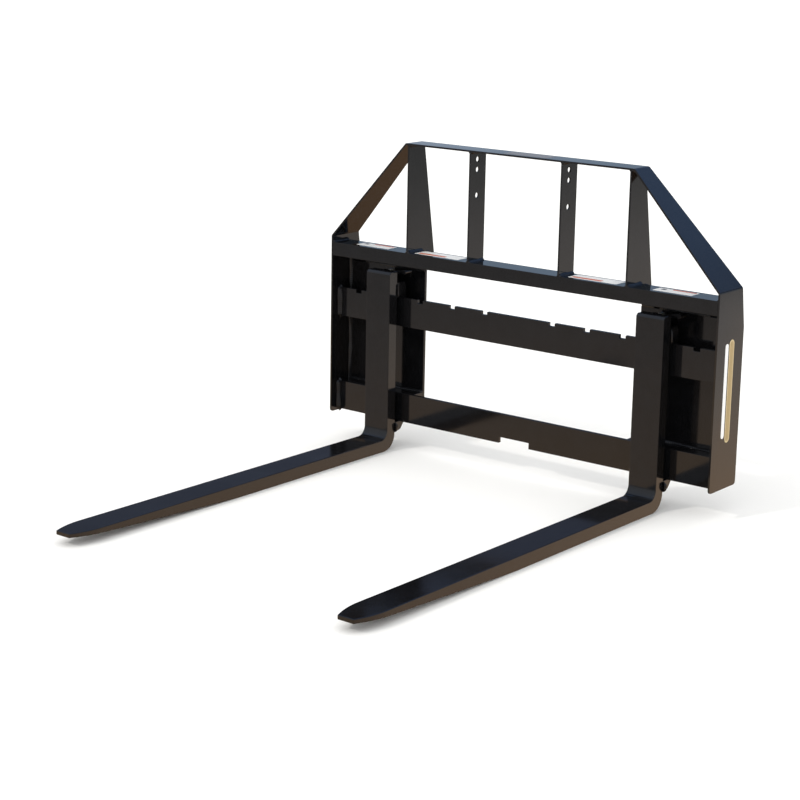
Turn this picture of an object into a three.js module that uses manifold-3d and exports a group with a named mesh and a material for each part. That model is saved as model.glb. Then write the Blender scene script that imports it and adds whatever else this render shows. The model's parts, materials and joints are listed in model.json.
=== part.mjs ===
// Pallet fork attachment for a skid-steer loader: a welded fork carriage with a load guard above it,
// and two hook-on forks that slide along the carriage bars and lock in notches with a spring pin.
// Units are millimetres and +Z is up. X runs along the carriage bars, with the forks pointing to -Y.
// Heights are above the floor that the forks lie on. Depths (y) are from the front faces of the bars.

import * as THREE from "three";
import { mergeVertices } from "three/addons/utils/BufferGeometryUtils.js";
import Module from "manifold-3d";

const wasm = await Module();
wasm.setup();

// ---- driving dimensions ----

const GAP = 0.3; // between pieces that are welded or rest on each other
const PLATE = 4.76; // 3/16 inch plate of the guard
const SIDES = [["left", -1], ["right", 1]];

// The bent band: both side plates, both diagonals and the top strap, in one strip.
const BAND = {
  halfWidth: 578, halfTop: 337.5, bottom: 68, shoulder: 542.5, top: 804, bendRadius: 7,
  front: -30, rearLow: 91, rearKink: 447, rearShoulder: 76, rearTop: 34, cornerRadius: 9,
};
const INNER_FACE = BAND.halfWidth - PLATE; // inner face of a side plate
const BAR_END = INNER_FACE - GAP;

// Carriage bars: flat bars of 3 x 3/8 inch, at the heights of a class 1 fork carriage.
const BAR_THICK = 9.5;
const LOWER_BAR = { bottom: 72.2, top: 148.4 };
const UPPER_BAR = { bottom: 325.6, top: 401.8 };
const NOTCH = { pitch: 101.6, count: 5, width: 17.5, depth: 8.8 };
const CUTOUT = { halfWidth: 45.5, depth: 15.6 }; // where a fork is lifted off the lower bar

// Guard.
const RAIL = { top: 525, lip: 35, rear: 33.5, thick: 6.35, fillet: 6 };
const OUTER_UPRIGHT = { x: 325.1, rearFoot: 85.5, rearTop: 34 };
const INNER_UPRIGHT = { x: 133, rear: 33.5, holeRadius: 7.15, holes: [780, 754.5, 690.7] };

// Quick-attach coupler plates behind the bars, with a bent hook lip above and a slotted lip below.
const COUPLER = { inner: 325, front: 46, thick: 8, bottom: 100, top: 470, weldCut: 2 };
const HOOK_LIP = { top: 518, flat: 4, reach: 30 };
const LOCK_LIP = {
  top: 112, rear: 90, slope: Math.PI / 6, thick: 8, slotX: 448, slotHalf: 30, slot: [62, 80],
};
const SPACER_HEIGHT = 20;

// Forks.
const FORK = {
  centre: 4 * NOTCH.pitch, halfWidth: 38.1, thick: 31.8, shankFront: -46, shankRear: -14, shankTop: 471.5,
  bevel: 6, heelOuter: 42, heelInner: 25, tip: -1136, tipThick: 10, taperStart: -615,
  noseStart: -1051, noseHalf: 20.5,
};
const HOOK = { halfWidth: 37, rear: 24, top: 440, lipBottom: 374, lipFront: 12.7, rearChamfer: 8 };
const LOWER_HOOK = {
  seat: 71.4, lipTop: 87, rear: 34, sole: 43, toe: [11, 48], knee: [24, 64], heel: 72, cut: 4,
};

// Fork latch: a spring pin over a notch, lifted by a lever. It is drawn raised, clear of the bar.
const LATCH = {
  y: 5, pinRadius: 7, pinTip: 403, tipCone: 2, shoulder: 419, ceiling: 430, neckRadius: 3.5, neckTop: 471,
  neckCone: 1, slip: 0.4, nutBottom: 465.3, nutHeight: 5, nutFlats: 13,
};
const EAR = { inner: 8, top: 464, right: -19, cut: 4 };
const LEVER = {
  eyeRadius: 7, angle: 9.4 * Math.PI / 180, thick: 6, half: 7.5, gripX: 54, gripRadius: 6, gripHalf: 13,
  windowHalf: 5.5, windowClear: 0.7,
};
const PIVOT = { x: -29, z: 456, radius: 4, head: 1.5, groove: 0.8, end: 27.5, cone: 0.5 };
const CLIP = { front: 25.1, rear: 26.4, slack: 0.2, bite: 0.5, rim: 2.5, mouth: 0.55 };
const SPRING = { wireRadius: 0.9, radius: 4.9, turns: 4, low: 420.4, high: 428.8 };

// ---- materials ----

function finish(color, roughness, metalness) {
  return new THREE.MeshStandardMaterial({ color, roughness, metalness });
}

const gloss = finish(0x121315, 0.25, 0.3); // gloss black paint on the frame and the forks
const zinc = finish(0xa8abb0, 0.35, 0.9); // plated latch pins and clips
const springSteel = finish(0x5a5d61, 0.4, 0.9);

// ---- solids ----

const AXES = {
  x: new THREE.Matrix4().makeBasis(
    new THREE.Vector3(0, 1, 0), new THREE.Vector3(0, 0, 1), new THREE.Vector3(1, 0, 0)),
  y: new THREE.Matrix4().makeBasis(
    new THREE.Vector3(1, 0, 0), new THREE.Vector3(0, 0, 1), new THREE.Vector3(0, -1, 0)),
  z: new THREE.Matrix4(),
};

function outline(points) {
  return new THREE.Shape(points.map(([a, b]) => new THREE.Vector2(a, b)));
}

// Extrudes a shape along an axis from `low` to `high`. Its plane is (y, z) for x, (x, z) for y, (x, y) for z.
function extrude(shape, axis, low, high, curveSegments = 12) {
  const options = { depth: high - low, bevelEnabled: false, curveSegments };
  const geometry = new THREE.ExtrudeGeometry(shape, options);
  geometry.applyMatrix4(AXES[axis]);
  const shift = { x: [low, 0, 0], y: [0, high, 0], z: [0, 0, low] }[axis];
  return geometry.translate(...shift);
}

function box(x, y, z) {
  const geometry = new THREE.BoxGeometry(x[1] - x[0], y[1] - y[0], z[1] - z[0]);
  return geometry.translate((x[0] + x[1]) / 2, (y[0] + y[1]) / 2, (z[0] + z[1]) / 2);
}

// A round bar along an axis, centred on the two other coordinates.
function rod(radius, axis, low, high, centre, segments = 24) {
  const geometry = new THREE.CylinderGeometry(radius, radius, high - low, segments);
  if (axis === "z") geometry.rotateX(Math.PI / 2);
  if (axis === "x") geometry.rotateZ(Math.PI / 2);
  const middle = (low + high) / 2;
  const [a, b] = centre;
  return geometry.translate(...{ x: [middle, a, b], y: [a, middle, b], z: [a, b, middle] }[axis]);
}

function solid(geometry) {
  const bare = geometry.clone();
  bare.deleteAttribute("normal");
  bare.deleteAttribute("uv");
  const merged = mergeVertices(bare, 1e-4);
  const mesh = { numProp: 3, vertProperties: merged.attributes.position.array, triVerts: merged.index.array };
  return new wasm.Manifold(new wasm.Mesh(mesh));
}

function surface(manifold) {
  const mesh = manifold.getMesh();
  const geometry = new THREE.BufferGeometry();
  geometry.setAttribute("position", new THREE.BufferAttribute(mesh.vertProperties, 3));
  geometry.setIndex(new THREE.BufferAttribute(mesh.triVerts, 1));
  geometry.computeVertexNormals();
  return geometry;
}

const add = (first, ...others) => surface(others.reduce((sum, g) => sum.add(solid(g)), solid(first)));
const cut = (first, ...others) => surface(others.reduce((rest, g) => rest.subtract(solid(g)), solid(first)));
const common = (first, second) => surface(solid(first).intersect(solid(second)));

// Rounds each inner corner of an open polyline with an arc of the given radius.
function roundedLine(points, radius, steps = 5) {
  const line = [points[0]];
  for (let i = 1; i < points.length - 1; i += 1) {
    const corner = new THREE.Vector2(...points[i]);
    const back = new THREE.Vector2(...points[i - 1]).sub(corner).normalize();
    const ahead = new THREE.Vector2(...points[i + 1]).sub(corner).normalize();
    const half = Math.acos(back.dot(ahead)) / 2;
    const centre = back.clone().add(ahead).normalize().multiplyScalar(radius / Math.sin(half)).add(corner);
    const start = back.clone().multiplyScalar(radius / Math.tan(half)).add(corner).sub(centre);
    const turn = (Math.PI - 2 * half) * Math.sign(ahead.cross(back));
    for (let k = 0; k <= steps; k += 1) {
      const p = start.clone().rotateAround(new THREE.Vector2(), turn * k / steps).add(centre);
      line.push([p.x, p.y]);
    }
  }
  line.push(points[points.length - 1]);
  return line;
}

// Moves an open polyline sideways by `distance`, to the right of its direction.
function offsetLine(points, distance) {
  const normals = points.slice(1).map(([x, y], i) => {
    const along = new THREE.Vector2(x - points[i][0], y - points[i][1]).normalize();
    return new THREE.Vector2(along.y, -along.x);
  });
  return points.map(([x, y], i) => {
    const a = normals[Math.max(i - 1, 0)];
    const b = normals[Math.min(i, normals.length - 1)];
    const shift = a.clone().add(b).multiplyScalar(distance / (1 + a.dot(b)));
    return [x + shift.x, y + shift.y];
  });
}

// ---- model ----

const model = new THREE.Group();

function place(name, geometry, material = gloss, parent = model) {
  const mesh = new THREE.Mesh(geometry, material);
  mesh.name = name;
  parent.add(mesh);
}

// A pair of mirrored pieces that are plain in X: `make` gets the low and high X of one side.
function pair(name, inner, outer, make) {
  for (const [side, sign] of SIDES) {
    const span = sign > 0 ? [inner, outer] : [-outer, -inner];
    place(`${name}_${side}`, make(span, sign));
  }
}

function guardBand() {
  const { halfWidth, halfTop, bottom, shoulder, top, bendRadius, front, cornerRadius } = BAND;
  const outer = [
    [-halfWidth, bottom], [-halfWidth, shoulder], [-halfTop, top],
    [halfTop, top], [halfWidth, shoulder], [halfWidth, bottom],
  ];
  const inner = roundedLine(offsetLine(outer, PLATE), bendRadius - PLATE);
  const strip = outline([...roundedLine(outer, bendRadius), ...inner.reverse()]);
  const side = roundedLine([
    [front, top + 1], [front, bottom], [BAND.rearLow, bottom], [BAND.rearLow, BAND.rearKink],
  ], cornerRadius);
  side.push([BAND.rearShoulder, shoulder], [BAND.rearTop, top], [BAND.rearTop, top + 1]);
  return common(
    extrude(strip, "y", front - 1, BAND.rearLow + 1),
    extrude(outline(side), "x", -halfWidth - 1, halfWidth + 1));
}

function upperBar() {
  const notches = [];
  for (let k = 1; k <= NOTCH.count; k += 1) {
    for (const [, sign] of SIDES) {
      const x = sign * k * NOTCH.pitch;
      notches.push(box(
        [x - NOTCH.width / 2, x + NOTCH.width / 2], [-1, BAR_THICK + 1],
        [UPPER_BAR.top - NOTCH.depth, UPPER_BAR.top + 1]));
    }
  }
  return cut(box([-BAR_END, BAR_END], [0, BAR_THICK], [UPPER_BAR.bottom, UPPER_BAR.top]), ...notches);
}

function lowerBar() {
  const { halfWidth, depth } = CUTOUT;
  return cut(
    box([-BAR_END, BAR_END], [0, BAR_THICK], [LOWER_BAR.bottom, LOWER_BAR.top]),
    box([-halfWidth, halfWidth], [-1, BAR_THICK + 1], [LOWER_BAR.bottom - 1, LOWER_BAR.bottom + depth]));
}

// A rolled angle, square outside and filleted inside.
function bottomRail() {
  const { top, lip, rear, thick, fillet } = RAIL;
  const { front } = BAND;
  const inside = roundedLine(
    [[front + thick, top - lip], [front + thick, top - thick], [rear, top - thick]], fillet, 4);
  const profile = [[front, top - lip], [front, top], [rear, top], ...inside.reverse()];
  return extrude(outline(profile), "x", -BAR_END, BAR_END);
}

// The outer uprights stand on the rail and step down over the coupler's hook lip.
function outerUpright([low, high]) {
  const { rearFoot, rearTop } = OUTER_UPRIGHT;
  const head = BAND.top - PLATE - GAP;
  const sole = HOOK_LIP.top + GAP;
  const lipClear = COUPLER.front + COUPLER.thick + HOOK_LIP.flat + GAP;
  return extrude(outline([
    [BAND.front, RAIL.top + GAP], [RAIL.rear + GAP, RAIL.top + GAP], [RAIL.rear + GAP, sole],
    [lipClear, sole], [rearFoot, sole - (rearFoot - lipClear)], [rearTop, head], [BAND.front, head],
  ]), "x", low, high);
}

function innerUpright([low, high]) {
  const { rear, holeRadius, holes } = INNER_UPRIGHT;
  const plate = box([low, high], [BAND.front, rear], [RAIL.top + GAP, BAND.top - PLATE - GAP]);
  return cut(plate, ...holes.map((z) => rod(holeRadius, "x", low - 1, high + 1, [0, z], 20)));
}

// The top edge is chamfered at the front, for the weld to the hook lip.
function couplerPlate([low, high]) {
  const { front, thick, bottom, top, weldCut } = COUPLER;
  const rear = front + thick;
  return extrude(outline([
    [front, bottom], [rear, bottom], [rear, top], [front + weldCut, top], [front, top - weldCut],
  ]), "x", low, high);
}

// The hook lip stands on the coupler plate, then slopes back and down at 45 degrees.
function hookLip([low, high]) {
  const { front, thick, weldCut } = COUPLER;
  const { top, flat, reach } = HOOK_LIP;
  const foot = COUPLER.top + GAP;
  const rear = front + thick;
  const bend = rear + flat;
  const across = thick / Math.SQRT2;
  const end = [bend + reach - across, top - reach - across];
  return extrude(outline([
    [front + weldCut, foot], [rear, foot], [rear, end[1] + end[0] - rear], end,
    [bend + reach, top - reach], [bend, top], [front, top], [front, foot + weldCut],
  ]), "x", low, high);
}

// The lock lip slopes back and down from the foot of the coupler plate, with a slot for the loader's wedge.
function lockLip([low, high], sign) {
  const start = COUPLER.front + COUPLER.thick + GAP;
  const { top, rear, slope, thick, slotX, slotHalf, slot } = LOCK_LIP;
  const fall = Math.tan(slope);
  const lip = extrude(outline([
    [start, top], [start, top - thick / Math.cos(slope)],
    [rear - thick * Math.sin(slope), top - (rear - start) * fall - thick * Math.cos(slope)],
    [rear, top - (rear - start) * fall],
  ]), "x", low, high);
  const x = sign * slotX;
  return cut(lip, box([x - slotHalf, x + slotHalf], slot, [LOWER_BAR.bottom, LOCK_LIP.top + 1]));
}

function spacer(bottom) {
  return (span) => box(span, [BAR_THICK + GAP, COUPLER.front - GAP], [bottom, bottom + SPACER_HEIGHT]);
}

place("guard_band", guardBand());
place("guard_bottom_rail", bottomRail());
place("upper_carriage_bar", upperBar());
place("lower_carriage_bar", lowerBar());
pair("outer_upright", OUTER_UPRIGHT.x, OUTER_UPRIGHT.x + PLATE, outerUpright);
pair("inner_upright", INNER_UPRIGHT.x, INNER_UPRIGHT.x + PLATE, innerUpright);
pair("coupler_plate", COUPLER.inner, BAR_END, couplerPlate);
pair("coupler_hook_lip", COUPLER.inner, BAR_END, hookLip);
pair("coupler_lock_lip", COUPLER.inner, BAR_END, lockLip);
pair("upper_spacer", COUPLER.inner, BAR_END, spacer(UPPER_BAR.bottom));
pair("lower_spacer", COUPLER.inner, BAR_END, spacer(LOWER_BAR.top - SPACER_HEIGHT));

// ---- forks: each is built about its own centre plane and set at its notch ----

function forkArm() {
  const f = FORK;
  const side = new THREE.Shape();
  side.moveTo(f.tip, f.thick);
  side.lineTo(f.tip, f.thick - f.tipThick);
  side.lineTo(f.taperStart, 0);
  side.lineTo(f.shankRear - f.heelOuter, 0);
  side.absarc(f.shankRear - f.heelOuter, f.heelOuter, f.heelOuter, -Math.PI / 2, 0, false);
  side.lineTo(f.shankRear, f.shankTop);
  side.lineTo(f.shankFront + f.bevel, f.shankTop);
  side.lineTo(f.shankFront, f.shankTop - f.bevel);
  side.lineTo(f.shankFront, f.thick + f.heelInner);
  side.absarc(f.shankFront - f.heelInner, f.thick + f.heelInner, f.heelInner, 0, -Math.PI / 2, true);
  const plan = new THREE.Shape();
  plan.moveTo(f.halfWidth, f.shankRear + 1);
  plan.lineTo(-f.halfWidth, f.shankRear + 1);
  plan.lineTo(-f.halfWidth, f.noseStart);
  plan.quadraticCurveTo(-f.halfWidth, (f.noseStart + f.tip) / 2, -f.noseHalf, f.tip);
  plan.lineTo(f.noseHalf, f.tip);
  plan.quadraticCurveTo(f.halfWidth, (f.noseStart + f.tip) / 2, f.halfWidth, f.noseStart);
  return common(
    extrude(side, "x", -f.halfWidth, f.halfWidth, 10),
    extrude(plan, "z", -1, f.shankTop + 1, 8));
}

// The upper hook hangs on the upper bar. Two ears at its left end carry the latch lever.
function upperHook() {
  const front = FORK.shankRear + GAP;
  const { halfWidth, rear, top, lipBottom, lipFront, rearChamfer } = HOOK;
  const { y, ceiling, slip } = LATCH;
  const body = extrude(outline([
    [front, UPPER_BAR.top + 2 * GAP], [front, top], [rear - rearChamfer, top], [rear, top - rearChamfer],
    [rear, lipBottom], [lipFront, lipBottom], [lipFront, UPPER_BAR.top + 2 * GAP],
  ]), "x", -halfWidth, halfWidth);
  const earFoot = top - 2 * rearChamfer;
  const earSpans = [[front, y - EAR.inner], [y + EAR.inner, rear]];
  const ears = earSpans.map((span) => extrude(outline([
    [-halfWidth, earFoot], [EAR.right, earFoot], [EAR.right, EAR.top - EAR.cut],
    [EAR.right - EAR.cut, EAR.top], [EAR.cut - halfWidth, EAR.top], [-halfWidth, EAR.top - EAR.cut],
  ]), "y", ...span));
  return cut(
    add(body, ...ears),
    rod(LATCH.pinRadius + slip, "z", UPPER_BAR.top, ceiling, [0, y]),
    rod(LATCH.neckRadius + slip, "z", ceiling - 1, top + 1, [0, y]),
    rod(PIVOT.radius + GAP, "y", front - 1, rear + 1, [PIVOT.x, PIVOT.z]));
}

// The lower hook wraps under the lower bar and up behind it.
function lowerHook() {
  const front = FORK.shankRear + GAP;
  const { seat, lipTop, rear, sole, toe, knee, heel, cut: corner } = LOWER_HOOK;
  return extrude(outline([
    [front, sole], toe, knee, [rear, heel], [rear, lipTop - corner],
    [rear - corner, lipTop], [HOOK.lipFront, lipTop], [HOOK.lipFront, seat], [front, seat],
  ]), "x", -HOOK.halfWidth, HOOK.halfWidth);
}

function lockPin() {
  const { pinRadius, pinTip, tipCone, shoulder, neckRadius, neckCone, neckTop, y } = LATCH;
  const profile = [
    [0, pinTip], [pinRadius - tipCone, pinTip], [pinRadius, pinTip + tipCone], [pinRadius, shoulder],
    [neckRadius, shoulder], [neckRadius, neckTop - neckCone], [neckRadius - neckCone, neckTop], [0, neckTop],
  ].map(([r, z]) => new THREE.Vector2(r, z));
  return new THREE.LatheGeometry(profile, 24).rotateX(Math.PI / 2).translate(0, y, 0);
}

function lockPinNut() {
  const { nutFlats, nutBottom, nutHeight, neckRadius, y } = LATCH;
  const corner = nutFlats / Math.sqrt(3);
  const hexagon = outline([0, 1, 2, 3, 4, 5].map((k) => {
    const angle = k * Math.PI / 3;
    return [corner * Math.cos(angle), y + corner * Math.sin(angle)];
  }));
  const bore = new THREE.Path();
  bore.absarc(0, y, neckRadius + GAP, 0, 2 * Math.PI, true);
  hexagon.holes.push(bore);
  return extrude(hexagon, "z", nutBottom, nutBottom + nutHeight);
}

// A coil around the pin's neck, between the pin's shoulder and the roof of its bore.
function lockSpring() {
  class Helix extends THREE.Curve {
    getPoint(t) {
      const angle = t * SPRING.turns * 2 * Math.PI;
      return new THREE.Vector3(
        SPRING.radius * Math.cos(angle), LATCH.y + SPRING.radius * Math.sin(angle),
        SPRING.low + t * (SPRING.high - SPRING.low));
    }
  }
  const wire = new THREE.Shape();
  wire.absarc(0, 0, SPRING.wireRadius, 0, 2 * Math.PI, false);
  return new THREE.ExtrudeGeometry(wire, {
    steps: SPRING.turns * 14, bevelEnabled: false, extrudePath: new Helix(), curveSegments: 4,
  });
}

// The lever turns on the ears, lifts the pin by its nut, and ends in a cross grip beside the fork.
function lockLever() {
  const { y, neckRadius } = LATCH;
  const { eyeRadius, angle, thick, half, gripX, gripRadius, gripHalf, windowHalf, windowClear } = LEVER;
  const reach = (gripX - PIVOT.x) / Math.cos(angle);
  const neck = -PIVOT.x / Math.cos(angle); // from the pivot to the pin's neck, along the lever
  const bar = box([0, reach], [y - half, y + half], [-thick / 2, thick / 2]);
  const eye = rod(eyeRadius, "y", y - half, y + half, [0, 0]);
  const grip = rod(gripRadius, "y", y - gripHalf, y + gripHalf, [reach, 0]);
  const window = box(
    [neck - windowHalf, neck + windowHalf],
    [y - neckRadius - windowClear, y + neckRadius + windowClear], [-thick, thick]);
  const bore = rod(PIVOT.radius + GAP, "y", y - half - 1, y + half + 1, [0, 0]);
  return cut(add(bar, eye, grip), window, bore)
    .rotateY(-angle)
    .translate(PIVOT.x, 0, PIVOT.z);
}

function leverPivot() {
  const { radius, head, end, cone } = PIVOT;
  const groove = [CLIP.front - CLIP.slack, CLIP.rear + CLIP.slack];
  const neck = radius - PIVOT.groove;
  const profile = [
    [0, FORK.shankRear + head], [radius, FORK.shankRear + head], [radius, groove[0]],
    [neck, groove[0]], [neck, groove[1]], [radius, groove[1]],
    [radius, end - cone], [radius - cone, end], [0, end],
  ].map(([r, depth]) => new THREE.Vector2(r, depth));
  return new THREE.LatheGeometry(profile, 20).translate(PIVOT.x, 0, PIVOT.z);
}

// An open retaining ring in the groove of the pivot pin.
function pivotClip() {
  const { x, z, radius } = PIVOT;
  const { front, rear, bite, rim, mouth } = CLIP;
  const ring = new THREE.Shape();
  ring.absarc(x, z, radius + rim, mouth, 2 * Math.PI - mouth, false);
  ring.absarc(x, z, radius - bite, 2 * Math.PI - mouth, mouth, true);
  return extrude(ring, "y", front, rear);
}

for (const [side, sign] of SIDES) {
  const fork = new THREE.Group();
  fork.position.x = sign * FORK.centre;
  model.add(fork);
  place(`fork_arm_${side}`, forkArm(), gloss, fork);
  place(`upper_hook_${side}`, upperHook(), gloss, fork);
  place(`lower_hook_${side}`, lowerHook(), gloss, fork);
  place(`lock_pin_${side}`, lockPin(), zinc, fork);
  place(`lock_pin_nut_${side}`, lockPinNut(), zinc, fork);
  place(`lock_spring_${side}`, lockSpring(), springSteel, fork);
  place(`lock_lever_${side}`, lockLever(), gloss, fork);
  place(`lever_pivot_${side}`, leverPivot(), zinc, fork);
  place(`pivot_clip_${side}`, pivotClip(), zinc, fork);
}

// The origin is on the floor, under the middle of the whole attachment.
model.position.y = -(FORK.tip + BAND.rearLow) / 2;

export default model;
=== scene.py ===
"""Looks for the pallet fork attachment: gloss black paint, weld beads, plain labels, studio and camera."""

import json
import math
import random

import bpy
from mathutils import Matrix, Vector


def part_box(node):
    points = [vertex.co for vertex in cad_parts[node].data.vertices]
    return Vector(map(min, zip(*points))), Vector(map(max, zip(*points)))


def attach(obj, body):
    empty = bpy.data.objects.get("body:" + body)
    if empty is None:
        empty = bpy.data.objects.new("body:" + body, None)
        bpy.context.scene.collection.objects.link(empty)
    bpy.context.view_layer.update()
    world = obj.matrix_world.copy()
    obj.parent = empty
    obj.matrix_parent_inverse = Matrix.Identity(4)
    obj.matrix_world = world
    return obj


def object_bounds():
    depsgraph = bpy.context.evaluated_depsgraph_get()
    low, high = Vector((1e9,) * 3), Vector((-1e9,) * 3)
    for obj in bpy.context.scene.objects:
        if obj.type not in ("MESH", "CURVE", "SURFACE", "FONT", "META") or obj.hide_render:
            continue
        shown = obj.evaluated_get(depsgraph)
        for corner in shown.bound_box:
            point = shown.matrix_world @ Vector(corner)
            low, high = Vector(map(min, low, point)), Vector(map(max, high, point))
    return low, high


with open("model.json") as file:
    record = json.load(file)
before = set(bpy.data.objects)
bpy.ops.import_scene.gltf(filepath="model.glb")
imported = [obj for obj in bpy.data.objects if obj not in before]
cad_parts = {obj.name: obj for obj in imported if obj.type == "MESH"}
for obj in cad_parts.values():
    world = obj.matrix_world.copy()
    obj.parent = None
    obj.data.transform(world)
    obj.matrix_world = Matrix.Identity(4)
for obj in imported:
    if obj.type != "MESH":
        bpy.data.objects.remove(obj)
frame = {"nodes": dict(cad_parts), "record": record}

CAD_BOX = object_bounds()
MM = 0.001
GAP = 0.3 * MM  # clearance that the CAD leaves between welded pieces
RAIL_THICK = 6.35 * MM  # legs of the guard's bottom rail
LIP_SLOPE = math.pi / 6  # fall of the coupler's lock lip
SIDES = (("left", -1), ("right", 1))
X, Y, Z = Vector((1, 0, 0)), Vector((0, 1, 0)), Vector((0, 0, 1))


def direction(azimuth, elevation):
    """The unit vector towards a place at these angles in degrees. Azimuth 0 is -Y and 90 is +X."""
    azimuth, elevation = math.radians(azimuth), math.radians(elevation)
    return Vector((
        math.sin(azimuth) * math.cos(elevation), -math.cos(azimuth) * math.cos(elevation), math.sin(elevation)))


# ---- camera: the viewing angle, in the frame's metres and in degrees ----

CAMERA = {
    "place": (2.7938, -3.4786, 1.4038), "azimuth": 38.3525, "elevation": 13.3771, "roll": 1.0484,
    "lens": 90.72, "sensor": 36, "shift": (0.00255, -0.02916),
}


def make_camera():
    back = direction(CAMERA["azimuth"], CAMERA["elevation"])
    roll = math.radians(CAMERA["roll"])
    level = Z.cross(back).normalized()
    upright = back.cross(level)
    right = math.cos(roll) * level + math.sin(roll) * upright
    up = math.cos(roll) * upright - math.sin(roll) * level
    data = bpy.data.cameras.new("camera")
    data.lens, data.sensor_width = CAMERA["lens"], CAMERA["sensor"]
    data.shift_x, data.shift_y = CAMERA["shift"]
    data.clip_end = 200
    camera = bpy.data.objects.new("camera", data)
    camera.matrix_world = Matrix.Translation(CAMERA["place"]) @ Matrix((right, up, back)).transposed().to_4x4()
    bpy.context.scene.collection.objects.link(camera)
    bpy.context.scene.camera = camera


# ---- materials ----

MIX_SHARE, MIX_FIRST, MIX_SECOND, MIX_RESULT = 0, 6, 7, 2  # a Mix node's sockets for colours


class Shader:
    """A material with one Principled shader, and short ways to add nodes to it."""

    def __init__(self, name):
        self.material = bpy.data.materials.new(name)
        self.material.use_nodes = True
        self.tree = self.material.node_tree
        self.principled = self.tree.nodes["Principled BSDF"]
        self.place = self.add("ShaderNodeTexCoord").outputs["Object"]

    def add(self, kind, inputs=None, **settings):
        node = self.tree.nodes.new(kind)
        for key, value in settings.items():
            setattr(node, key, value)
        for key, value in (inputs or {}).items():
            self.feed(node.inputs[key], value)
        return node

    def feed(self, socket, value):
        if isinstance(value, bpy.types.NodeSocket):
            self.tree.links.new(value, socket)
        else:
            socket.default_value = value

    def set(self, **inputs):
        for key, value in inputs.items():
            self.feed(self.principled.inputs[key.replace("_", " ")], value)

    def noise(self, scale, detail=2.0, roughness=0.5):
        inputs = {"Vector": self.place, "Scale": scale, "Detail": detail, "Roughness": roughness}
        return self.add("ShaderNodeTexNoise", inputs).outputs[0]

    def span(self, value, low, high, to_low=0.0, to_high=1.0):
        """value from low..high mapped to to_low..to_high, and held at both ends."""
        inputs = {"Value": value, "From Min": low, "From Max": high, "To Min": to_low, "To Max": to_high}
        return self.add("ShaderNodeMapRange", inputs).outputs[0]

    def math(self, operation, a, b):
        return self.add("ShaderNodeMath", {0: a, 1: b}, operation=operation).outputs[0]

    def blend(self, share, first, second):
        """The colour first where share is 0, and second where it is 1."""
        node = self.add("ShaderNodeMix", data_type="RGBA")
        self.feed(node.inputs[MIX_SHARE], share)
        self.feed(node.inputs[MIX_FIRST], first)
        self.feed(node.inputs[MIX_SECOND], second)
        return node.outputs[MIX_RESULT]

    def near_edge(self, reach):
        """1 at the sharp edges, and 0 further than reach from them."""
        rounded = self.add("ShaderNodeBevel", {"Radius": reach}, samples=4).outputs[0]
        plain = self.add("ShaderNodeNewGeometry").outputs["Normal"]
        node = self.add("ShaderNodeVectorMath", {0: rounded, 1: plain}, operation="DOT_PRODUCT")
        return self.span(node.outputs["Value"], 0.98, 0.8)

    def bump(self, height, distance, below=None):
        node = self.add("ShaderNodeBump", {"Height": height, "Strength": 1.0, "Distance": distance})
        if below is not None:
            self.feed(node.inputs["Normal"], below)
        return node.outputs["Normal"]


def gloss_paint(name, color, dust_color, gloss, waves, peel):
    """Gloss coating: waves and orange peel (depths in millimetres), duller patches, edges both rubbed and lightened
    as a painted highlight, and dust.
    """
    s = Shader(name)
    patches = s.noise(7.0, 5.0, 0.6)
    specks = s.span(s.noise(1500.0, 3.0, 0.7), 0.66, 0.74)
    dust = s.math("MULTIPLY", specks, s.span(patches, 0.45, 0.7, 0.1, 0.8))
    film = s.span(s.noise(23.0, 6.0, 0.65), 0.35, 0.75)
    tinted = s.blend(film, (*color, 1), (*[1.7 * c for c in color], 1))
    # painted highlight: near sharp edges the black is lightened and dulled, partly as rubbed wear and partly as a
    # painted edge highlight
    rubbed_and_highlit = s.math("MULTIPLY", s.near_edge(RUBBED_AND_HIGHLIT_REACH), s.span(s.noise(90.0, 5.0, 0.65), 0.45, 0.65))
    tinted = s.blend(rubbed_and_highlit, tinted, (*[6 * c for c in color], 1))
    duller = s.math("ADD", s.math("MULTIPLY", dust, 0.25), s.math("MULTIPLY", rubbed_and_highlit, 0.15))
    roughness = s.math("ADD", s.span(patches, 0.3, 0.7, *gloss), duller)
    surface = s.bump(s.noise(14.0, 2.0), waves * MM)
    surface = s.bump(s.noise(520.0, 2.5, 0.55), peel * MM, surface)
    s.set(Base_Color=s.blend(dust, tinted, (*dust_color, 1)), Roughness=roughness, Normal=surface)
    return s.material


def plated_steel():
    s = Shader("plated_steel")
    brushed = s.noise(900.0, 3.0, 0.6)
    stain = s.noise(160.0, 4.0, 0.6)
    s.set(
        Base_Color=s.blend(s.span(stain, 0.4, 0.7), (0.60, 0.59, 0.55, 1), (0.40, 0.40, 0.40, 1)),
        Roughness=s.span(stain, 0.3, 0.7, 0.22, 0.42), Normal=s.bump(brushed, 0.01 * MM), Metallic=1.0)
    return s.material


def spring_steel():
    s = Shader("spring_steel")
    oil = s.noise(300.0, 4.0, 0.6)
    s.set(
        Base_Color=s.blend(s.span(oil, 0.4, 0.65), (0.16, 0.15, 0.14, 1), (0.33, 0.32, 0.31, 1)),
        Roughness=s.span(oil, 0.3, 0.7, 0.25, 0.5), Normal=s.bump(s.noise(1600.0), 0.008 * MM), Metallic=1.0)
    return s.material


def vinyl(name, color, faded):
    """Printed label film: a slightly uneven print under a smooth clear layer, with a little dust."""
    s = Shader(name)
    print_noise = s.noise(240.0, 4.0, 0.6)
    s.set(
        Base_Color=s.blend(s.span(print_noise, 0.35, 0.75), (*color, 1), (*faded, 1)),
        Roughness=s.span(s.noise(60.0, 4.0), 0.3, 0.7, 0.28, 0.45), Normal=s.bump(s.noise(700.0), 0.01 * MM))
    return s.material


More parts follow.
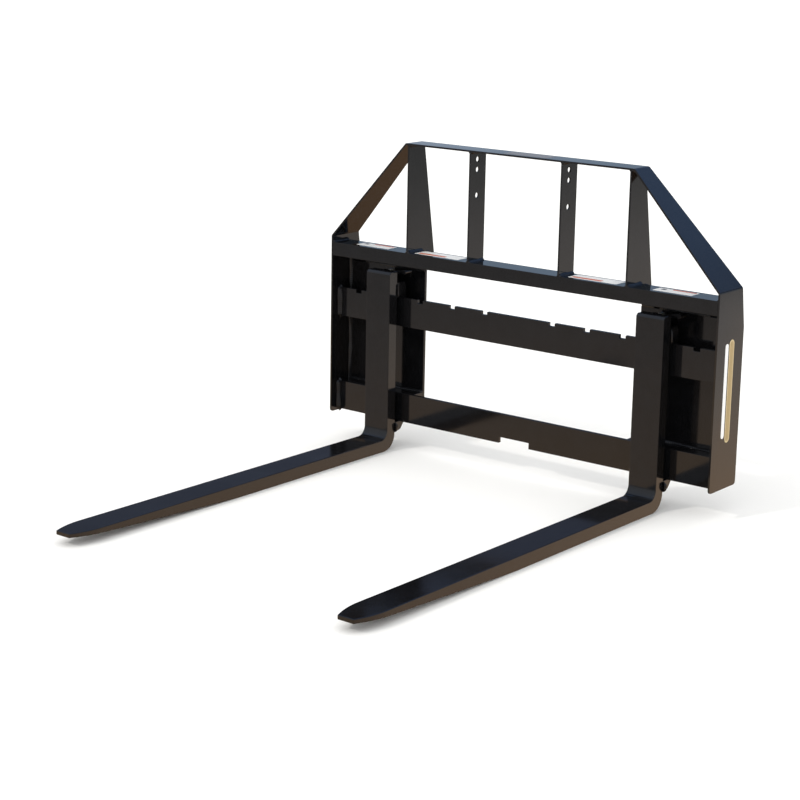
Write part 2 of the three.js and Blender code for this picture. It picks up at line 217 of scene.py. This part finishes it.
RUBBED_AND_HIGHLIT_REACH = 1.6 * MM  # how far from an edge the paint is rubbed and lightened as a painted highlight
BLACK = (0.0035, 0.0035, 0.004)
DUST = (0.03, 0.028, 0.026)
MATERIALS = {
    "frame_paint": gloss_paint("frame_paint", BLACK, DUST, (0.06, 0.12), 0.10, 0.010),
    "fork_paint": gloss_paint("fork_paint", BLACK, DUST, (0.07, 0.14), 0.20, 0.014),
    "weld_paint": gloss_paint("weld_paint", BLACK, DUST, (0.06, 0.12), 0.9, 0.11),
    "plated_steel": plated_steel(),
    "spring_steel": spring_steel(),
}
WHITE_VINYL = vinyl("white_vinyl", (0.86, 0.86, 0.85), (0.76, 0.76, 0.75))
ORANGE_VINYL = vinyl("orange_vinyl", (0.62, 0.13, 0.05), (0.52, 0.14, 0.07))
SILVER_VINYL = vinyl("silver_vinyl", (0.20, 0.20, 0.21), (0.15, 0.15, 0.16))
GREY_VINYL = vinyl("grey_vinyl", (0.05, 0.05, 0.055), (0.08, 0.08, 0.085))
TAN_VINYL = vinyl("tan_vinyl", (0.40, 0.29, 0.13), (0.34, 0.25, 0.12))
GOLD_VINYL = vinyl("gold_vinyl", (0.58, 0.46, 0.25), (0.50, 0.40, 0.22))


# ---- CAD nodes: their own shapes, with rounded edges and a finish ----

EDGE = {  # radius of the sharp edges, in millimetres, by the start of the node's name
    "fork_arm": 1.6, "upper_hook": 1.6, "lower_hook": 1.6, "lock_lever": 0.9, "upper_carriage_bar": 0.8,
    "lower_carriage_bar": 0.8, "lock_pin": 0.3, "lever_pivot": 0.2, "pivot_clip": 0.15, "lock_spring": 0,
}
PLATE_EDGE = 0.6  # the same radius for every other node
SAME_POINT = 0.01 * MM
FLAT_ANGLE = math.radians(0.3)  # faces that meet at less than this are one flat face
SHARP_ANGLE = math.radians(28)  # edges sharper than this are rounded


def dress(name, node, slot):
    node.data.materials.clear()
    node.data.materials.append(MATERIALS[slot])
    normals = node.data.attributes.get("custom_normal")
    if normals is not None:
        node.data.attributes.remove(normals)
    node.data.shade_smooth()
    weld = node.modifiers.new("weld", "WELD")
    weld.merge_threshold = SAME_POINT
    radius = next((r for start, r in EDGE.items() if name.startswith(start)), PLATE_EDGE)
    if radius:
        dissolve = node.modifiers.new("dissolve", "DECIMATE")
        dissolve.decimate_type = "DISSOLVE"
        dissolve.angle_limit = FLAT_ANGLE
        bevel = node.modifiers.new("bevel", "BEVEL")
        bevel.width = radius * MM
        bevel.segments = 3
        bevel.limit_method = "ANGLE"
        bevel.angle_limit = SHARP_ANGLE
        bevel.harden_normals = True
        bevel.miter_outer = "MITER_ARC"


for part in frame["record"]["subparts"]:
    dress(part["node"], frame["nodes"][part["node"]], part["material_slot"])


# ---- mesh helpers ----


def new_piece(name, vertices, faces, material, body, smooth=True):
    mesh = bpy.data.meshes.new(name)
    mesh.from_pydata([tuple(v) for v in vertices], [], faces)
    mesh.validate()
    mesh.materials.append(material)
    if smooth:
        mesh.shade_smooth()
    piece = bpy.data.objects.new(name, mesh)
    bpy.context.scene.collection.objects.link(piece)
    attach(piece, body)


# ---- weld beads ----

RIPPLE = 5.2 * MM  # length of one ripple
SINK = 0.5 * MM  # how far a bead's root reaches into the corner
ROWS_PER_RIPPLE = 5
ARC = 7  # steps across a bead's face
FULLNESS = 1.45  # above 1 the face is flatter than a quarter circle
LEG = {  # leg lengths of the beads, in millimetres
    "upright_foot": 6.5, "upright_head": 5.5, "rail_end": 6.5, "rail_underside": 6, "bar_front": 9.5, "bar_edge": 8,
    "spacer": 5.5, "side_plate": 7.5, "groove": 3.4, "lip_rear": 5, "lock_lip": 7, "lock_lip_end": 6,
    "lip_on_upright": 5.5, "upper_hook": 7, "lower_hook": 10,
}
EDGE_STOP = 1 * MM  # how far a bead's end lies from a plate's edge
PLATE_STOP = 4 * MM  # the same across the coupler plates
RAIL_FILLET = 8 * MM  # stretch behind the rail's front leg that a bead can't reach
GROOVE_DEPTH = 1.8 * MM  # depth of the seam between a coupler plate and its hook lip
LIP_RAMP = 26 * MM  # fall of the hook lip along an upright
HOOK_TOP = 26 * MM  # upper part of the upper hook, which isn't welded
HOOK_CLEAR = 3 * MM  # gap between a hook's beads and the bars
HOOK_FOOT = 2 * MM  # gap between the lower hook's foot and its beads


class Welds:
    """Weld beads that become one mesh. A bead lies in a corner between two plates and has a rippled face."""

    def __init__(self, name, body):
        self.name, self.body = name, body
        self.random = random.Random(name)
        self.vertices, self.faces = [], []

    def bead(self, start, end, one, other, leg):
        """start and end are on the corner's line; one and other point along the plates; leg is in mm."""
        start, end = Vector(start), Vector(end)
        along = (end - start).normalized()
        length = (end - start).length
        leg *= MM
        one, other = Vector(one).normalized(), Vector(other).normalized()
        if one.cross(other).dot(along) < 0:
            one, other = other, one
        rows = max(6, round(length / (RIPPLE / ROWS_PER_RIPPLE)))
        shift = [self.random.uniform(0, 2 * math.pi) for _ in range(4)]
        first, ring = len(self.vertices), ARC + 2
        for row in range(rows + 1):
            s = length * row / rows
            end_taper = min(1.0, 0.45 + min(s, length - s) / leg)
            sway = 0.09 * math.sin(s / (19 * MM) + shift[0]) + 0.07 * math.sin(s / (7.3 * MM) + shift[1])
            lean = 0.10 * math.sin(s / (31 * MM) + shift[2])
            size = leg * end_taper * (0.94 + sway)
            self.vertices.append(start + along * s - (one + other) * SINK)
            for k in range(ARC + 1):
                turn = math.pi / 2 * k / ARC
                phase = (s / RIPPLE + shift[3] + 0.45 * math.sin(2 * turn)) % 1
                crest = 1 - 0.2 * math.sin(2 * turn) * (2 * phase - 1) ** 2
                a = size * crest * (1 + lean) * math.cos(turn) ** FULLNESS
                b = size * crest * (1 - lean) * math.sin(turn) ** FULLNESS
                self.vertices.append(start + along * s + one * a + other * b)
        for row in range(rows):
            for k in range(ring):
                here, ahead = first + row * ring, first + (row + 1) * ring
                following = (k + 1) % ring
                self.faces.append((here + k, here + following, ahead + following, ahead + k))
        self.faces.append(tuple(first + k for k in reversed(range(ring))))
        self.faces.append(tuple(first + rows * ring + k for k in range(ring)))

    def finish(self):
        new_piece(self.name, self.vertices, self.faces, MATERIALS["weld_paint"], self.body)


def guard_welds():
    """The uprights on the rail and under the strap, and the rail's ends."""
    welds = Welds("welds_guard", "carriage_frame")
    rail_low, rail_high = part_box("guard_bottom_rail")
    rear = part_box("inner_upright_left")[1].y
    for side, sign in SIDES:
        for kind in ("outer", "inner"):
            low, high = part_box(f"{kind}_upright_{side}")
            for x, out in ((low.x, -X), (high.x, X)):
                foot = Vector((x, 0, rail_high.z))
                welds.bead(foot + Y * low.y, foot + Y * rear, out, Z, LEG["upright_foot"])
                head = Vector((x, 0, high.z + GAP))
                welds.bead(head + Y * low.y, head + Y * rear, out, -Z, LEG["upright_head"])
        wall = Vector((sign * (rail_high.x + GAP), 0, rail_high.z))
        welds.bead(wall + Y * (rail_low.y + EDGE_STOP), wall + Y * rail_high.y, -sign * X, Z, LEG["rail_end"])
        under = wall - Z * RAIL_THICK
        start = under + Y * (rail_low.y + RAIL_FILLET)
        welds.bead(start, under + Y * rail_high.y, -sign * X, -Z, LEG["rail_underside"])
    welds.finish()


def carriage_welds():
    """The bars' ends on the side plates, and the spacers between the bars and the coupler plates."""
    welds = Welds("welds_carriage", "carriage_frame")
    for bar, spacer in (("upper_carriage_bar", "upper_spacer"), ("lower_carriage_bar", "lower_spacer")):
        low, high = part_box(bar)
        for side, sign in SIDES:
            wall = Vector((sign * (high.x + GAP), 0, 0))
            front = wall + Y * low.y
            top = front + Z * (high.z + EDGE_STOP)
            welds.bead(front + Z * low.z, top, -sign * X, -Y, LEG["bar_front"])
            for z, out in ((high.z, Z), (low.z, -Z)):
                edge = wall + Z * z
                welds.bead(edge + Y * low.y, edge + Y * high.y, -sign * X, out, LEG["bar_edge"])
            spacer_low, spacer_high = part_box(f"{spacer}_{side}")
            ends = (X * spacer_low.x, X * spacer_high.x)
            for z, out in ((spacer_high.z, Z), (spacer_low.z, -Z)):
                seam = Vector((0, spacer_high.y + GAP, z))
                welds.bead(seam + ends[0], seam + ends[1], -Y, out, LEG["spacer"])
                if low.z + MM < z < high.z - MM:
                    seam.y = high.y
                    welds.bead(seam + ends[0], seam + ends[1], Y, out, LEG["spacer"])
    welds.finish()


# Parts of the seam under the hook lip that have no weld, in millimetres from the middle of the frame.
OPEN_SEAM = {"left": ((525, 573),), "right": ((363, 375), (514, 530))}


def coupler_welds():
    """The coupler plates on the side plates, and the lips on the coupler plates."""
    welds = Welds("welds_coupler", "carriage_frame")
    for side, sign in SIDES:
        low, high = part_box(f"coupler_plate_{side}")
        hook_low, hook_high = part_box(f"coupler_hook_lip_{side}")
        lock_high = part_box(f"coupler_lock_lip_{side}")[1]
        inner, outer = sorted((abs(low.x), abs(high.x)))
        for y, out, bottom, top in ((low.y, -Y, low.z, hook_high.z), (high.y, Y, lock_high.z, hook_low.z)):
            foot = Vector((sign * (outer + GAP), y, 0))
            welds.bead(foot + Z * bottom, foot + Z * top, -sign * X, out, LEG["side_plate"])
        groove = Vector((0, low.y + GROOVE_DEPTH, (high.z + hook_low.z) / 2))
        start = inner + EDGE_STOP
        for gap_start, gap_end in (*OPEN_SEAM[side], (outer / MM, outer / MM)):
            if gap_start * MM > start:
                end = min(gap_start * MM, outer)
                ends = (groove + sign * X * start, groove + sign * X * end)
                welds.bead(*ends, Z - Y, -Z - Y, LEG["groove"])
            start = gap_end * MM
        across = (X * (low.x + PLATE_STOP), X * (high.x - PLATE_STOP))
        seam = Vector((0, high.y, (high.z + hook_low.z) / 2))
        welds.bead(seam + across[0], seam + across[1], Z + 0.35 * Y, 0.35 * Y - Z, LEG["lip_rear"])
        shelf = Vector((0, high.y, lock_high.z))
        fall = Vector((0, math.cos(LIP_SLOPE), -math.sin(LIP_SLOPE)))
        rise = Vector((0, math.sin(LIP_SLOPE), math.cos(LIP_SLOPE)))
        welds.bead(shelf + across[0], shelf + across[1], fall, Z, LEG["lock_lip"])
        end = Vector((sign * (outer + GAP), high.y, lock_high.z))
        length = (lock_high.y - high.y) / math.cos(LIP_SLOPE)
        welds.bead(end + fall * PLATE_STOP, end + fall * length, -sign * X, rise, LEG["lock_lip_end"])
        upright_low, upright_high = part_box(f"outer_upright_{side}")
        for x, out in ((upright_low.x, -X), (upright_high.x, X)):
            top = Vector((x, high.y + PLATE_STOP, hook_high.z))
            welds.bead(Vector((x, low.y, hook_high.z)), top, out, Z, LEG["lip_on_upright"])
            welds.bead(top, top + (Y - Z) * LIP_RAMP, out, Y + Z, LEG["lip_on_upright"])
    welds.finish()


def fork_welds(side):
    """The hooks on the rear face of a fork's shank."""
    welds = Welds(f"welds_fork_{side}", f"fork_{side}")
    arm_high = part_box(f"fork_arm_{side}")[1]
    upper_low, upper_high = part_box(f"upper_hook_{side}")
    lower_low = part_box(f"lower_hook_{side}")[0]
    upper_span = (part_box("upper_carriage_bar")[1].z + HOOK_CLEAR, upper_high.z - HOOK_TOP)
    lower_span = (lower_low.z + HOOK_FOOT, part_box("lower_carriage_bar")[0].z - HOOK_CLEAR)
    for (bottom, top), leg in ((upper_span, LEG["upper_hook"]), (lower_span, LEG["lower_hook"])):
        for x, out in ((upper_low.x, -X), (upper_high.x, X)):
            root = Vector((x, arm_high.y, 0))
            welds.bead(root + Z * bottom, root + Z * top, out, Y, leg)
    welds.finish()


guard_welds()
carriage_welds()
coupler_welds()
for side_name, _ in SIDES:
    fork_welds(side_name)


# ---- labels: plain film with no lettering ----

FILM = 0.2 * MM  # thickness of one layer
FILM_LIFT = 0.02 * MM  # gap between the paint and the film
CORNER_STEPS = 6


def rounded_rectangle(width, height, radius):
    corners = ((1, 1, 0), (-1, 1, 1), (-1, -1, 2), (1, -1, 3))
    points = []
    for sx, sy, quarter in corners:
        for k in range(CORNER_STEPS + 1):
            turn = math.pi / 2 * (quarter + k / CORNER_STEPS)
            points.append((
                sx * (width / 2 - radius) + radius * math.cos(turn),
                sy * (height / 2 - radius) + radius * math.sin(turn)))
    return points


def film(name, centre, right, up, width, height, radius, material, layer=1):
    """A thin flat piece with rounded corners. Each higher layer lies on the one below it."""
    out = right.cross(up)
    corners = rounded_rectangle(width * MM, height * MM, radius * MM)
    base = [Vector(centre) + right * a + up * b + out * FILM_LIFT for a, b in corners]
    vertices = base + [v + out * (FILM * layer) for v in base]
    count = len(base)
    faces = [tuple(reversed(range(count))), tuple(range(count, 2 * count))]
    faces += [(k, (k + 1) % count, count + (k + 1) % count, count + k) for k in range(count)]
    new_piece(name, vertices, faces, material, "carriage_frame", smooth=False)


OUTER_LABEL = ((106, 38), (16, 13, 62, 8), (-36, 6, 12, 12))  # size, strip and patch, in millimetres
INNER_LABEL = ((138, 44), (-20, -10, 84, 13))  # size and strip


def rail_label(name, x, y, size, strip, patch=None):
    """A plain white panel on the rail, with a coloured strip and patch where a real label has its print."""
    low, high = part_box("guard_bottom_rail")
    centre = Vector((x * MM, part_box("upper_carriage_bar")[0].y + y * MM, high.z))
    film(name, centre, X, Y, *size, 3, WHITE_VINYL)
    for part, place, material in (("strip", strip, ORANGE_VINYL), ("patch", patch, GREY_VINYL)):
        if place:
            dx, dy, width, height = place
            film(f"{name}_{part}", centre + X * (dx * MM) + Y * (dy * MM), X, Y, width, height, 1, material, 2)


def side_stripe():
    """A tan stripe with a gold edge, and a plain pale bar beside it, on the right side plate."""
    bars_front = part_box("upper_carriage_bar")[0].y
    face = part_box("guard_band")[1].x
    middle = Vector((face, bars_front + 38 * MM, 303 * MM))
    film("side_stripe_edge", middle, Y, Z, 22, 246, 11, GOLD_VINYL)
    film("side_stripe", middle, Y, Z, 15, 238, 7.5, TAN_VINYL, 2)
    film("side_bar", Vector((face, bars_front + 16 * MM, 306 * MM)), Y, Z, 14, 226, 7, WHITE_VINYL)


def strap_panel():
    """A plain grey panel on the strap of the guard."""
    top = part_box("guard_band")[1].z
    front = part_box("guard_band")[0].y
    film("strap_panel", Vector((20 * MM, front + 31 * MM, top)), X, Y, 130, 44, 3, SILVER_VINYL)


rail_label("label_outer_left", -452, 2, *OUTER_LABEL)
rail_label("label_outer_right", 444, 2, *OUTER_LABEL)
rail_label("label_inner_left", -243, 4, *INNER_LABEL)
rail_label("label_inner_right", 224, 4, *INNER_LABEL)
strap_panel()
side_stripe()


# ---- studio ----

# What the gloss reflects, behind the carriage (+Y) and ahead of it (-Y). Each entry is a height of view, from -1
# straight down to 1 straight up, and the colour there.
BEHIND = (
    (-1.0, (0.25, 0.16, 0.10)), (-0.55, (0.36, 0.22, 0.13)), (-0.42, (0.8, 0.55, 0.38)),
    (-0.28, (1.2, 0.85, 0.58)), (-0.22, (0.92, 0.80, 0.70)), (-0.165, (0.76, 0.71, 0.68)),
    (-0.13, (0.46, 0.46, 0.45)), (0.08, (0.38, 0.47, 0.60)), (0.19, (0.27, 0.37, 0.50)),
    (0.225, (0.12, 0.14, 0.20)), (0.34, (0.09, 0.11, 0.17)), (0.48, (0.21, 0.35, 0.64)),
    (1.0, (0.20, 0.33, 0.60)),
)
AHEAD = (
    (-1.0, (0.35, 0.27, 0.20)), (-0.42, (0.75, 0.55, 0.36)), (-0.28, (0.85, 0.60, 0.38)),
    (-0.24, (0.68, 0.53, 0.42)), (-0.205, (0.52, 0.46, 0.42)), (-0.175, (0.33, 0.32, 0.32)),
    (0.10, (0.60, 0.62, 0.66)), (1.0, (0.50, 0.58, 0.72)),
)
SOFT_TURN = 0.25  # the two reflected sides run into each other between -0.25 and 0.25 of Y
EVEN_LIGHT = 1.3  # strength of the white light on everything
SUN = {"toward": (-23, 42), "energy": 0.8, "angle": 4, "color": (1.0, 0.96, 0.9)}
FLOOR_HALF = 60  # metres
FLOOR_GAP = 0.5 * MM  # between the floor and the part


def make_studio():
    mesh = bpy.data.meshes.new("floor")
    corners = [(FLOOR_HALF * x, FLOOR_HALF * y, 0) for x, y in ((-1, -1), (1, -1), (1, 1), (-1, 1))]
    mesh.from_pydata(corners, [], [(0, 1, 2, 3)])
    s = Shader("pale_floor")
    s.set(
        Base_Color=s.blend(s.noise(3.0, 4.0), (0.84, 0.84, 0.83, 1), (0.87, 0.87, 0.86, 1)),
        Roughness=0.9, Specular_IOR_Level=0.0)
    mesh.materials.append(s.material)
    floor = bpy.data.objects.new("floor", mesh)
    floor.location.z = CAD_BOX[0].z - FLOOR_GAP
    floor.visible_glossy = False
    bpy.context.scene.collection.objects.link(floor)


def make_world():
    """Even white light on everything, and a dimmer landscape of soft bands in what the gloss reflects."""
    world = bpy.data.worlds.new("studio")
    world.use_nodes = True
    tree = world.node_tree
    tree.nodes.clear()
    add, link = tree.nodes.new, tree.links.new
    split = add("ShaderNodeSeparateXYZ")
    link(add("ShaderNodeTexCoord").outputs["Generated"], split.inputs[0])

    def mapped(value, low, high):
        node = add("ShaderNodeMapRange")
        link(value, node.inputs["Value"])
        node.inputs["From Min"].default_value, node.inputs["From Max"].default_value = low, high
        return node.outputs[0]

    def ramp(colors):
        node = add("ShaderNodeValToRGB")
        elements = node.color_ramp.elements
        while len(elements) < len(colors):
            elements.new(0.5)
        for element, (height, color) in zip(elements, colors):
            element.position, element.color = (height + 1) / 2, (*color, 1)
        link(mapped(split.outputs["Z"], -1, 1), node.inputs[0])
        return node.outputs[0]

    sides = add("ShaderNodeMix")
    sides.data_type = "RGBA"
    link(mapped(split.outputs["Y"], -SOFT_TURN, SOFT_TURN), sides.inputs[MIX_SHARE])
    link(ramp(AHEAD), sides.inputs[MIX_FIRST])
    link(ramp(BEHIND), sides.inputs[MIX_SECOND])
    reflected, even = add("ShaderNodeBackground"), add("ShaderNodeBackground")
    link(sides.outputs[MIX_RESULT], reflected.inputs["Color"])
    even.inputs["Color"].default_value = (1.0, 1.0, 1.0, 1)
    even.inputs["Strength"].default_value = EVEN_LIGHT
    choose, out = add("ShaderNodeMixShader"), add("ShaderNodeOutputWorld")
    link(add("ShaderNodeLightPath").outputs["Is Glossy Ray"], choose.inputs[0])
    link(even.outputs[0], choose.inputs[1])
    link(reflected.outputs[0], choose.inputs[2])
    link(choose.outputs[0], out.inputs["Surface"])
    bpy.context.scene.world = world


def make_sun():
    data = bpy.data.lights.new("key", "SUN")
    data.energy = SUN["energy"]
    data.angle = math.radians(SUN["angle"])
    data.color = SUN["color"]
    sun = bpy.data.objects.new("key", data)
    sun.rotation_mode = "QUATERNION"
    sun.rotation_quaternion = direction(*SUN["toward"]).to_track_quat("Z", "Y")
    bpy.context.scene.collection.objects.link(sun)


make_studio()
make_world()
make_sun()
make_camera()
bpy.context.scene.view_settings.view_transform = "Standard"
